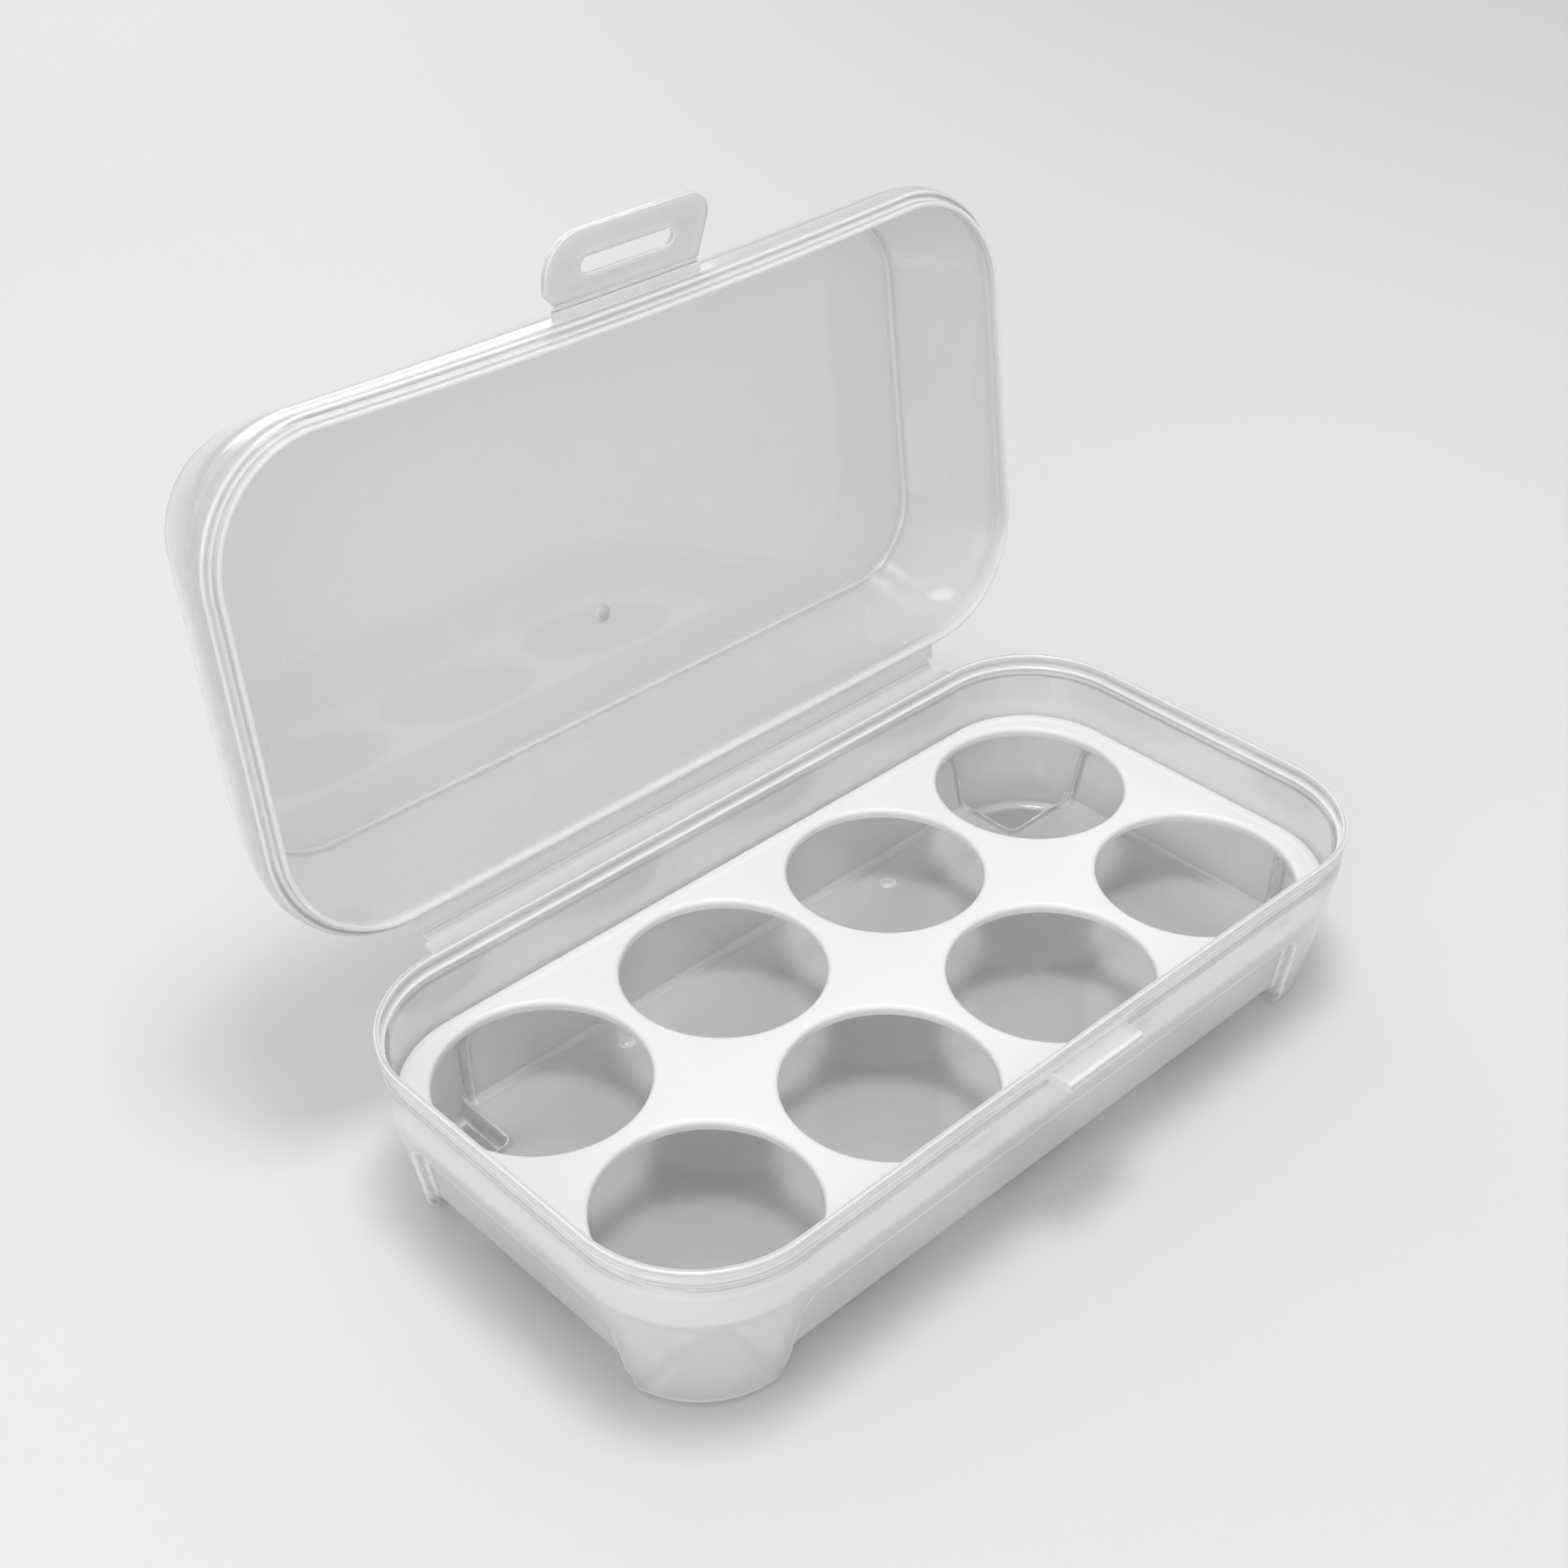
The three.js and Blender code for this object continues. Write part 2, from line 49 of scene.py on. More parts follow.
SHARP_DEGREES = 38

# Rim outline, shared by the base and the lid
RIM_HALF_X = 98.9
RIM_HALF_Y = 51.1
CORNER_RADIUS = 25.5
STRAIGHT_X = RIM_HALF_X - CORNER_RADIUS
STRAIGHT_Y = RIM_HALF_Y - CORNER_RADIUS
ARC_RADIUS = 20.0
ARC_REACH = ARC_RADIUS * math.pi / 4

# Base
RIM_TOP = 40.0
LIP_THICK = 1.1
LEDGE_Z = 37.0
SHOULDER_FOOT = 25.0
SHOULDER_TOP = 33.0
SHOULDER_INSET = 0.2
WALL_INSET = 1.1
WALL_SLOPE = 0.14
WALL_CURVE = 0.0015
WALL = 1.0
FLOOR_UNDER = 4.2
FLOOR_THICK = 1.2
FOOT_BAND = 2.0
FOOT_SLOPE = 0.5
FOOT_ROUND = 0.7
FLOOR_FILLET = 1.3
SQUEEZE_Z = 8.0
BASE_BOW = 0.5

# Recessed panels between the feet
RECESS_HALF_X = 70.9
RECESS_HALF_Y = 27.9
RECESS_FLARE = 1.6
RECESS_TOP = 22.1
RECESS_DEPTH = 2.0
RECESS_RADIUS = 5.0
RECESS_BEVEL = 1.5
RISER_X = 72.2
RISER_Y = 29.3
RISER_WIDTH = 0.9
RISER_RADIUS = 2.0

# Lid, with depths from its rim edge
LID_EDGE_Z = 38.1
COLLAR_INSET = 1.45
LID_SWELL = 0.9
LID_SWELL_DEPTH = 6.0
LID_TAPER = 0.147
LID_TAPER_POWER = 1.3
LID_WALL = 1.1
LID_SHOULDER_WALL = 2.1
LID_DEPTH = 27.5
LID_PANEL_THICK = 1.2
LID_ROUND = 1.6
LID_BOW = 1.6

# Hinge, catch and latch
FLANGE_REACH = 3.6
FLANGE_HALF = 72.2
FLANGE_THICK = 1.2
FLANGE_MOST_INSET = 0.3
GROOVE_HALF = 0.6
FOLD_SPACING = 2.2
STRIP_HALF = 71.0
STRIP_THICK = 0.9
FILM_THICK = 0.35
FILM_SET_IN = 0.25
FILM_SHORTER = 0.1
LATCH_FLANGE_REACH = 2.8
LATCH_FOLD_ABOVE_RIM = 2.6
CATCH_HALF = 10.3
CATCH_Z = (35.0, 37.0)
CATCH_STEP = 0.01
CATCH_ROUND = 0.4
CATCH_SET_BACK = 1.2
CATCH_ROOT_INSET = -0.4
TAB_ROOT_HALF = 17.7
TAB_HALF = 19.9
TAB_LENGTH = 14.4
TAB_LEFT_RADIUS = 8.5
TAB_RIGHT_RADIUS = 5.0
TAB_LEFT_FLARE = 3.2
TAB_RIGHT_FLARE = 9.0
TAB_THICK = 1.0
TAB_OPEN_DEGREES = 12.0
SLOT_HALF = 11.3
SLOT_HEIGHT = 3.4
SLOT_FROM_FOLD = 6.9

# Gate marks
GATE_X = 38.5
GATE_Y = 36.5
GATE_RADIUS = 2.0
GATE_RISE = 0.9
GATE_SUNK = 0.02
LID_GATE_Y = 22.0

# Egg plate
HOLE_RADIUS = 21.0
HOLE_PITCH = 46.4
HOLE_COLUMNS = 4
HOLE_ROWS = 2
PLATE_HALF_X = 96.35
PLATE_HALF_Y = 48.3
PLATE_RADIUS = 22.95
PLATE_THICK = 1.2
SHEET_MARGIN = 1.6
LIP_FOOT = 1.0

# Camera, from the centre of the egg plate's top, in metres and degrees
CAMERA_PLACE = (-0.2525, -0.2356, 0.2892)
CAMERA_DOWN = 35.3
CAMERA_ROLL = 0.1
CAMERA_TURN = -43.64
CAMERA_LENS = 51.41

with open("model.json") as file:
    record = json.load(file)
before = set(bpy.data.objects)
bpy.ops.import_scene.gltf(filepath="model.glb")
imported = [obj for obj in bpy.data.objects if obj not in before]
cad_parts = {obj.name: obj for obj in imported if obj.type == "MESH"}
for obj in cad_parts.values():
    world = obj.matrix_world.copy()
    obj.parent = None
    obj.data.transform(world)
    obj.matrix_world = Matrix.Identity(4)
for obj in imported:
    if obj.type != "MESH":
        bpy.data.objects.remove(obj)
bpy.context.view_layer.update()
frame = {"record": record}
JOINTS = {joint["name"]: joint for joint in frame["record"]["behaviour"]["joints"]}


def joint_place(name):
    """A hinge joint's place in millimetres."""
    return Vector(JOINTS[name]["pos_m"]) / MM


BASE_FOLD = joint_place("base_fold")
LID_FOLD = joint_place("lid_fold")
LATCH_FOLD = joint_place("latch_fold")
HINGE_Y = RIM_HALF_Y + FLANGE_REACH + GROOVE_HALF
MIDDLE_Y = BASE_FOLD.y - HINGE_Y
STRIP_ANGLE = math.atan2(LID_FOLD.z - BASE_FOLD.z, LID_FOLD.y - BASE_FOLD.y)
LID_OPENING = math.pi - 2 * STRIP_ANGLE
PLATE_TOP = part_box("egg_plate")[1][2] / MM
CATCH_REACH = -(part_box("base_shell")[0][1] / MM - MIDDLE_Y) - RIM_HALF_Y

TO_BASE = Matrix.Scale(MM, 4) @ Matrix.Translation((0, MIDDLE_Y, 0))
TO_STRIP = (
    Matrix.Scale(MM, 4) @ Matrix.Translation(BASE_FOLD) @ Matrix.Rotation(STRIP_ANGLE, 4, "X")
)
TO_LID = (
    Matrix.Scale(MM, 4)
    @ Matrix.Translation(LID_FOLD)
    @ Matrix.Rotation(-LID_OPENING, 4, "X")
    @ Matrix.Translation((0, -HINGE_Y, -(BASE_FOLD.z + FOLD_SPACING)))
)
TO_TAB = (
    Matrix.Scale(MM, 4)
    @ Matrix.Translation(LATCH_FOLD)
    @ Matrix.Rotation(math.radians(TAB_OPEN_DEGREES) - LID_OPENING, 4, "X")
)


# ---------------------------------------------------------------- meshes
def smoothstep(value):
    value = np.clip(value, 0.0, 1.0)
    return value * value * (3 - 2 * value)


def make_object(name, vertices, faces, place):
    """A mesh object from millimetre vertices, moved to its place, with its faces turned outwards."""
    mesh = bpy.data.meshes.new(name)
    mesh.from_pydata([tuple(v) for v in vertices], [], [tuple(f) for f in faces])
    mesh.transform(place)
    solid = bmesh.new()
    solid.from_mesh(mesh)
    bmesh.ops.remove_doubles(solid, verts=solid.verts, dist=0.004 * MM)
    bmesh.ops.recalc_face_normals(solid, faces=solid.faces)
    solid.to_mesh(mesh)
    solid.free()
    mesh.shade_smooth()
    mesh.set_sharp_from_angle(angle=math.radians(SHARP_DEGREES))
    piece = bpy.data.objects.new(name, mesh)
    bpy.context.scene.collection.objects.link(piece)
    return piece


def both_ways(lines):
    """Positive line positions mirrored through zero."""
    positive = sorted(lines)
    return [-t for t in reversed(positive) if t > 0] + positive


def mark_edges(mesh):
    """Stores on each vertex how sharply the surface bends there, from 0 to 1."""
    solid = bmesh.new()
    solid.from_mesh(mesh)
    bend = {}
    for edge in solid.edges:
        turn = edge.calc_face_angle(0.0)
        for vertex in edge.verts:
            bend[vertex.index] = max(bend.get(vertex.index, 0.0), turn)
    solid.free()
    layer = mesh.attributes.new(EDGE_LAYER, "FLOAT", "POINT")
    low, high = (math.radians(a) for a in EDGE_BENDS)
    values = []
    for k in range(len(mesh.vertices)):
        share = (bend.get(k, 0.0) - low) / (high - low)
        values.append(min(max(share, 0.0), 1.0))
    layer.data.foreach_set("value", values)


class Outline:
    """Columns round a rounded rectangle, anticlockwise, as the border of a grid of lines.

    A column's place at an inset is anchor + (corner radius - inset) * normal. Along a side, a
    line's position is its distance from the side's middle, carried on round the corner's arc.
    """

    def __init__(self, x_lines, y_lines, straight_x, straight_y, radius):
        self.x_lines = both_ways(x_lines)
        self.y_lines = both_ways(y_lines)
        self.straight = (straight_x, straight_y)
        self.radius = radius
        nx = len(self.x_lines)
        ny = len(self.y_lines)
        self.border = (
            [(i, 0) for i in range(nx - 1)]
            + [(nx - 1, j) for j in range(ny - 1)]
            + [(i, ny - 1) for i in range(nx - 1, 0, -1)]
            + [(0, j) for j in range(ny - 1, 0, -1)]
        )
        sides = [0] * (nx - 1) + [1] * (ny - 1) + [2] * (nx - 1) + [3] * (ny - 1)
        self.side = np.array(sides)
        columns = [self.column(side, i, j) for side, (i, j) in zip(sides, self.border)]
        self.anchor = np.array([c[0] for c in columns])
        self.normal = np.array([c[1] for c in columns])
        self.along = np.array([c[2] for c in columns])
        reach = np.clip(np.abs(self.along) / straight_x, 0, 1)
        self.bow_share = np.where(self.side == 0, 1 - reach * reach, 0.0)

    def column(self, side, i, j):
        straight_x, straight_y = self.straight
        facing = -math.pi / 2 + side * math.pi / 2
        if side in (0, 2):
            line = self.x_lines[i]
            half = straight_x
        else:
            line = self.y_lines[j]
            half = straight_y
        over = math.copysign(max(abs(line) - half, 0), line) / ARC_RADIUS
        turn = over if side in (0, 1) else -over
        angle = facing + turn
        held = max(-half, min(half, line))
        if side in (0, 2):
            anchor = (held, -straight_y if side == 0 else straight_y)
        else:
            anchor = (straight_x if side == 1 else -straight_x, held)
        return anchor, (math.cos(angle), math.sin(angle)), line

    def place(self, inset, z, bow=0.0):
        """Points of one level: inset and z are numbers or one value per column."""
        inset = np.broadcast_to(inset, self.along.shape)
        z = np.broadcast_to(z, self.along.shape)
        flat = self.anchor + (self.radius - inset)[:, None] * self.normal
        flat[:, 1] += bow * self.bow_share
        return np.column_stack([flat, z])


def coons(bottom, top, left, right, u, v):
    """A point inside four border curves, each indexed from the patch's inner corner."""
    straight = (1 - v) * bottom[0] + v * top[0] + (1 - u) * left[0] + u * right[0]
    corners = (
        (1 - u) * (1 - v) * bottom[1]
        + u * (1 - v) * bottom[2]
        + (1 - u) * v * top[1]
        + u * v * top[2]
    )
    return straight - corners


def grid_plan(outline, ring, riser_x, riser_y):
    """Plan positions of the whole grid inside a ring, with straight lines between the risers."""
    xs = np.array(outline.x_lines)
    ys = np.array(outline.y_lines)
    plan = np.zeros((len(xs), len(ys), 2))
    for (i, j), point in zip(outline.border, ring):
        plan[i, j] = point[:2]
    last_i, last_j = len(xs) - 1, len(ys) - 1
    edge_i = {s: int(np.argmin(np.abs(xs - s * riser_x))) for s in (-1, 1)}
    edge_j = {s: int(np.argmin(np.abs(ys - s * riser_y))) for s in (-1, 1)}
    for i in range(1, last_i):
        for j in range(1, last_j):
            x, y = xs[i], ys[j]
            sx, sy = (1 if x > 0 else -1), (1 if y > 0 else -1)
            end_i = last_i if sx > 0 else 0
            end_j = last_j if sy > 0 else 0
            inner_x, inner_y = xs[edge_i[sx]], ys[edge_j[sy]]
            u = (abs(x) - abs(inner_x)) / (abs(xs[end_i]) - abs(inner_x))
            v = (abs(y) - abs(inner_y)) / (abs(ys[end_j]) - abs(inner_y))
            if u <= 0 and v <= 0:
                plan[i, j] = (x, y)
            elif u <= 0:
                plan[i, j] = (x, (1 - v) * inner_y + v * plan[i, end_j, 1])
            elif v <= 0:
                plan[i, j] = (1 - u) * np.array((inner_x, y)) + u * plan[end_i, j]
            else:
                corner = np.array((inner_x, inner_y))
                side_x = plan[edge_i[sx], end_j]
                side_y = plan[end_i, edge_j[sy]]
                far = plan[end_i, end_j]
                bottom = ((1 - u) * corner + u * side_y, corner, side_y)
                top = (plan[i, end_j], side_x, far)
                left = ((1 - v) * corner + v * side_x,)
                right = (plan[end_i, j],)
                plan[i, j] = coons(bottom, top, left, right, u, v)
    return plan


class Shell:
    """Gathers rows of columns and the grids that close them into one mesh."""

    def __init__(self, outline):
        self.outline = outline
        self.vertices = []
        self.faces = []

    def add_rows(self, rows):
        """Adds rows of points and the faces between them. Returns the first and last row's ids."""
        count = len(self.outline.along)
        first = len(self.vertices)
        for row in rows:
            self.vertices.extend(row)
        for r in range(len(rows) - 1):
            for c in range(count):
                a = first + r * count + c
                b = first + r * count + (c + 1) % count
                self.faces.append((a, b, b + count, a + count))
        last = first + (len(rows) - 1) * count
        return range(first, first + count), range(last, last + count)

    def add_cap(self, ring_ids, riser_x, riser_y, height):
        """Fills a ring with the grid. height(x, y) gives the inner points' z."""
        ring = [self.vertices[k] for k in ring_ids]
        plan = grid_plan(self.outline, ring, riser_x, riser_y)
        ids = np.full(plan.shape[:2], -1)
        for (i, j), k in zip(self.outline.border, ring_ids):
            ids[i, j] = k
        for i in range(1, plan.shape[0] - 1):
            for j in range(1, plan.shape[1] - 1):
                x, y = plan[i, j]
                ids[i, j] = len(self.vertices)
                self.vertices.append((x, y, height(x, y)))
        for i in range(plan.shape[0] - 1):
            for j in range(plan.shape[1] - 1):
                self.faces.append((ids[i, j], ids[i + 1, j], ids[i + 1, j + 1], ids[i, j + 1]))


def spread(start, stop, step):
    """Evenly spaced numbers from start to stop, both included, no further apart than step."""
    return list(np.linspace(start, stop, max(2, math.ceil(abs(stop - start) / step) + 1)))


# ---------------------------------------------------------------- base
def wall_inset(z):
    below = SHOULDER_FOOT - z
    return WALL_INSET + WALL_SLOPE * below + WALL_CURVE * below * below


def recess_share(outline, z, grow):
    """How far each column at height z is into the recess: 0 outside, 1 on its flat floor."""
    half = np.where(np.isin(outline.side, (0, 2)), RECESS_HALF_X, RECESS_HALF_Y)
    half = half + RECESS_FLARE * (1 - z / RECESS_TOP) + grow
    radius = RECESS_RADIUS + grow
    across = np.abs(outline.along) - (half - radius)
    above = z - (RECESS_TOP + grow - radius)
    outside = np.hypot(np.maximum(across, 0), np.maximum(above, 0))
    distance = outside + np.minimum(np.maximum(across, above), 0) - radius
    return smoothstep(-distance / RECESS_BEVEL)


def foot_share(x, y, grow):
    """How far a plan point is into a foot: 0 under the floor, 1 in the foot."""
    over_x = np.abs(x) - RISER_X - grow
    over_y = np.abs(y) - RISER_Y - grow
    into = RISER_RADIUS - np.hypot(
        np.minimum(over_x - RISER_RADIUS, 0), np.minimum(over_y - RISER_RADIUS, 0)
    )
    return smoothstep(into / RISER_WIDTH)


def base_outline():
    x_lines = [0, 5, 10.15, CATCH_HALF, 10.45, 15, 22, 30, 38, 46, 54, 60]
    x_lines += spread(62, 69.4, 0.7) + spread(69.75, RISER_X, 0.35) + [72.35]
    x_lines += spread(72.6, STRAIGHT_X + 1.2, 0.3)
    x_lines += spread(STRAIGHT_X + 2.4, STRAIGHT_X + ARC_REACH, 1.6)
    y_lines = [0, 6, 12, 17] + spread(19, 26.3, 0.7) + spread(26.6, 31.7, 0.35)
    y_lines += spread(32.6, STRAIGHT_Y + ARC_REACH, 1.6)
    return Outline(x_lines, y_lines, STRAIGHT_X, STRAIGHT_Y, CORNER_RADIUS)


def squeezed(z, lowest, end):
    """Moves heights below SQUEEZE_Z so that the row meant for end lies at lowest instead."""
    if z >= SQUEEZE_Z:
        return np.full_like(lowest, z)
    return lowest + (z - end) * (SQUEEZE_Z - lowest) / (SQUEEZE_Z - end)


def fillet(height, radius):
    """Extra inset of a quarter-round fillet at a height above its foot."""
    rest = np.clip(radius - height, 0, radius)
    return radius - np.sqrt(radius * radius - rest * rest)


def base_bow(z):
    return BASE_BOW * np.clip((z - FLOOR_UNDER) / (RIM_TOP - FLOOR_UNDER), 0, 1)


def foot_chamfer(height):
    """Extra inset of the feet's lower band: a slope with a small round at its foot."""
    return FOOT_SLOPE * np.clip(FOOT_BAND - height, 0, FOOT_BAND) + fillet(height, FOOT_ROUND)


def floor_fillet(height):
    return fillet(height, FLOOR_FILLET)


def base_wall_rows(outline, heights, wall, floor_z, end, foot):
    """Rows of the tapering wall below the shoulder, with its recesses and its foot fillet."""
    rows = []
    for z in heights:
        height = squeezed(z, floor_z, end)
        inset = wall_inset(height) + wall
        inset = inset + RECESS_DEPTH * recess_share(outline, height, wall)
        inset = inset + foot(height - floor_z)
        bow = base_bow(float(z))
        rows.append(outline.place(inset, height, bow))
    return rows


def upper_row(outline, z, inset):
    """A level above the recesses, with the catch and the hinge flange standing out of it."""
    inset = np.full_like(outline.along, inset)
    catch = (outline.side == 0) & (np.abs(outline.along) <= CATCH_HALF)
    flange = (outline.side == 2) & (np.abs(outline.along) <= FLANGE_HALF)
    tip = -CATCH_REACH - BASE_BOW
    if CATCH_Z[0] < z < CATCH_Z[1]:
        edge = min(z - CATCH_Z[0], CATCH_Z[1] - z)
        inset[catch] = tip + fillet(edge, CATCH_ROUND)
    elif z in CATCH_Z:
        inset[catch] = tip + CATCH_SET_BACK
    elif z in (CATCH_Z[0] - CATCH_STEP, CATCH_Z[1] + CATCH_STEP):
        inset[catch] = CATCH_ROOT_INSET
    if RIM_TOP - FLANGE_THICK <= z and inset[0] < FLANGE_MOST_INSET:
        inset[flange] += -FLANGE_REACH
    return outline.place(inset, z, base_bow(z))


def shoulder_inset(z):
    drop = np.clip((SHOULDER_TOP - z) / (SHOULDER_TOP - SHOULDER_FOOT), 0, None)
    return SHOULDER_INSET + (WALL_INSET - SHOULDER_INSET) * drop ** 1.6


def base_outer_rows(outline):
    """Rows of the outside from the feet to the middle of the rim's top."""
    low = outline.place(wall_inset(FLOOR_UNDER) + RECESS_DEPTH, 0)
    floor_z = FLOOR_UNDER * (1 - foot_share(low[:, 0], low[:, 1], 0))
    heights = [0, 0.08, 0.3, 0.7, 1.2, 2.0, 3.2, 4.6, 6.2, SQUEEZE_Z] + spread(9.5, 15.5, 1.5)
    heights += spread(16.1, 22.9, 0.45) + [24.0]
    rows = base_wall_rows(outline, heights, 0, floor_z, 0, foot_chamfer)
    levels = [(z, shoulder_inset(z)) for z in spread(25, 33, 1.0)]
    levels += [(33.8, 0.24), (34.3, 0.35), (34.7, 0.5), (34.97, 0.7)]
    levels += [(CATCH_Z[0] - CATCH_STEP, 0.72)]
    levels += [(CATCH_Z[0], 0.74), (35.03, 0.78), (35.15, 0.8)]
    levels += [(35.6, 0.8), (36.2, 0.8), (36.32, 0.55), (36.4, 0.25), (36.55, 0.1), (36.85, 0.1)]
    levels += [(36.97, 0.1), (CATCH_Z[1], 0.1), (CATCH_Z[1] + CATCH_STEP, 0.1)]
    levels += [(37.03, 0.1), (37.9, 0.1), (38.05, 0.22), (38.2, 0.28), (38.7, 0.28)]
    levels += [(38.79, 0.26), (38.82, 0.1), (38.95, 0.02), (39.3, 0.0), (39.7, 0.02)]
    levels += [(39.9, 0.1), (39.98, 0.22)]
    rows += [upper_row(outline, z, inset) for z, inset in levels]
    rows.append(outline.place(0.5, RIM_TOP, BASE_BOW))
    return rows


def base_inner_rows(outline):
    """Rows of the inside from the rim's top to the edge of the floor."""
    levels = [(40.0, 0.7), (39.97, 0.88), (39.85, 1.02), (39.6, LIP_THICK), (38.4, LIP_THICK)]
    levels += [(37.3, LIP_THICK), (37.08, 1.18), (LEDGE_Z, 1.32), (LEDGE_Z, 1.62)]
    levels += [(36.92, 1.76), (36.6, 1.8), (35, 1.85), (33, 1.9), (30.5, 1.96), (28, 2.02), (26, 2.07)]
    rows = [outline.place(inset, z, base_bow(z)) for z, inset in levels]
    low = outline.place(wall_inset(FLOOR_UNDER) + RECESS_DEPTH + WALL, 0)
    floor_z = FLOOR_THICK + FLOOR_UNDER * (1 - foot_share(low[:, 0], low[:, 1], WALL))
    heights = [24.8, 24.2] + spread(23.9, 17.2, 0.45) + spread(16, 9.5, 1.5) + [SQUEEZE_Z, 6.6, 5.2]
    heights += [4.0, 3.0, 2.4, 1.9, 1.5, 1.28, FLOOR_THICK]
    rows += base_wall_rows(outline, heights, WALL, floor_z, FLOOR_THICK, floor_fillet)
    return rows


def make_base():
    outline = base_outline()
    shell = Shell(outline)
    first, last = shell.add_rows(base_outer_rows(outline) + base_inner_rows(outline))
    shell.add_cap(first, RISER_X, RISER_Y, lambda x, y: FLOOR_UNDER * (1 - foot_share(x, y, 0)))
    shell.add_cap(
        last, RISER_X, RISER_Y,
        lambda x, y: FLOOR_THICK + FLOOR_UNDER * (1 - foot_share(x, y, WALL)),
    )
    return make_object("base_body", shell.vertices, shell.faces, TO_BASE)


# ---------------------------------------------------------------- lid
def lid_inset(depth):
    beyond = np.maximum(depth - LID_SWELL_DEPTH, 0)
    return LID_TAPER * beyond ** LID_TAPER_POWER - LID_SWELL


def lid_row(outline, depth, inset):
    """A level of the lid, with the hinge and latch flanges standing out of it."""
    inset = np.full_like(outline.along, inset)
    hinge_depth = BASE_FOLD.z + FOLD_SPACING - LID_EDGE_Z
    latch_depth = RIM_TOP + LATCH_FOLD_ABOVE_RIM - LID_EDGE_Z
    if inset[0] < COLLAR_INSET - 0.1 and depth < LID_SWELL_DEPTH:
        hinge = (outline.side == 2) & (np.abs(outline.along) <= FLANGE_HALF)
        latch = (outline.side == 0) & (np.abs(outline.along) <= TAB_ROOT_HALF)
        if abs(depth - hinge_depth) <= FLANGE_THICK / 2 + 0.001:
            inset[hinge] = -FLANGE_REACH
        if abs(depth - latch_depth) <= FLANGE_THICK / 2 + 0.001:
            inset[latch] = -LATCH_FLANGE_REACH
    bow = LID_BOW * min(max(1 - depth / LID_DEPTH, 0), 1)
    return outline.place(inset, LID_EDGE_Z + depth, bow)


def make_lid():
    x_lines = [0, 6, 12, 17.55, TAB_ROOT_HALF, 17.85, 24, 32, 40, 48, 56, 64, 70, 72.05]
    x_lines += [FLANGE_HALF, 72.35] + spread(STRAIGHT_X, STRAIGHT_X + ARC_REACH, 1.1)
    y_lines = [0, 8, 16] + spread(STRAIGHT_Y, STRAIGHT_Y + ARC_REACH, 1.1)
    outline = Outline(x_lines, y_lines, STRAIGHT_X, STRAIGHT_Y, CORNER_RADIUS)
    panel_top = LID_DEPTH + LID_PANEL_THICK
    round_start = panel_top - LID_ROUND
    levels = [(panel_top, lid_inset(round_start) + LID_ROUND + 0.3)]
    for step in range(7):
        angle = math.pi / 2 * (1 - step / 6)
        inset = lid_inset(round_start) + LID_ROUND * (1 - math.cos(angle))
        levels.append((round_start + LID_ROUND * math.sin(angle), inset))
    levels += [(depth, lid_inset(depth)) for depth in spread(round_start - 1, LID_SWELL_DEPTH, 1.2)]
    levels += [(5.16, -0.89), (5.1, -0.885), (5.0, -0.88), (4.6, -0.84), (4.15, -0.79)]
    levels += [(4.1, -0.785), (4.0, -0.77), (3.9, -0.75), (3.84, -0.74), (3.5, -0.67)]
    levels += [(3.1, -0.56), (2.9, -0.5), (2.86, -0.48), (2.6, -0.35), (2.4, -0.15), (2.3, 0.1)]
    levels += [(2.25, 0.5), (2.25, 1.2), (2.15, 1.42), (1.9, COLLAR_INSET), (0.35, COLLAR_INSET)]
    levels += [(0.12, 1.52), (0.0, 1.72), (0.0, 2.15), (0.1, 2.36), (0.3, 2.45), (2.6, 2.45)]
    levels += [(3.0, 2.35), (4.4, 1.45), (5.0, 1.25), (5.6, 1.2)]
    for depth in spread(LID_SWELL_DEPTH, LID_DEPTH - 0.9, 1.4):
        share = (depth - LID_SWELL_DEPTH) / (LID_DEPTH - LID_SWELL_DEPTH)
        wall = LID_SHOULDER_WALL + (LID_WALL - LID_SHOULDER_WALL) * share
        levels.append((depth, float(lid_inset(depth)) + wall))
    depth, inset = levels[-1]
    levels += [(LID_DEPTH - 0.6, inset + 0.12), (LID_DEPTH - 0.3, inset + 0.36)]
    levels += [(LID_DEPTH - 0.1, inset + 0.75), (LID_DEPTH, inset + 1.25), (LID_DEPTH, inset + 1.9)]
    rows = [lid_row(outline, float(depth), float(inset)) for depth, inset in levels]
    shell = Shell(outline)
    first, last = shell.add_rows(rows)
    shell.add_cap(first, STRAIGHT_X, STRAIGHT_Y, lambda x, y: LID_EDGE_Z + panel_top)
    shell.add_cap(last, STRAIGHT_X, STRAIGHT_Y, lambda x, y: LID_EDGE_Z + LID_DEPTH)
    return make_object("lid_body", shell.vertices, shell.faces, TO_LID)


# ---------------------------------------------------------------- hinge and latch
def make_rod(name, section, half_length, place):
    """A rod along X with a convex or gently curved section of (y, z) points."""
    count = len(section)
    vertices = [(x, y, z) for x in (-half_length, half_length) for y, z in section]
    faces = [(k, (k + 1) % count, (k + 1) % count + count, k + count) for k in range(count)]
    faces += [tuple(range(count)), tuple(range(2 * count - 1, count - 1, -1))]
    return make_object(name, vertices, faces, place)


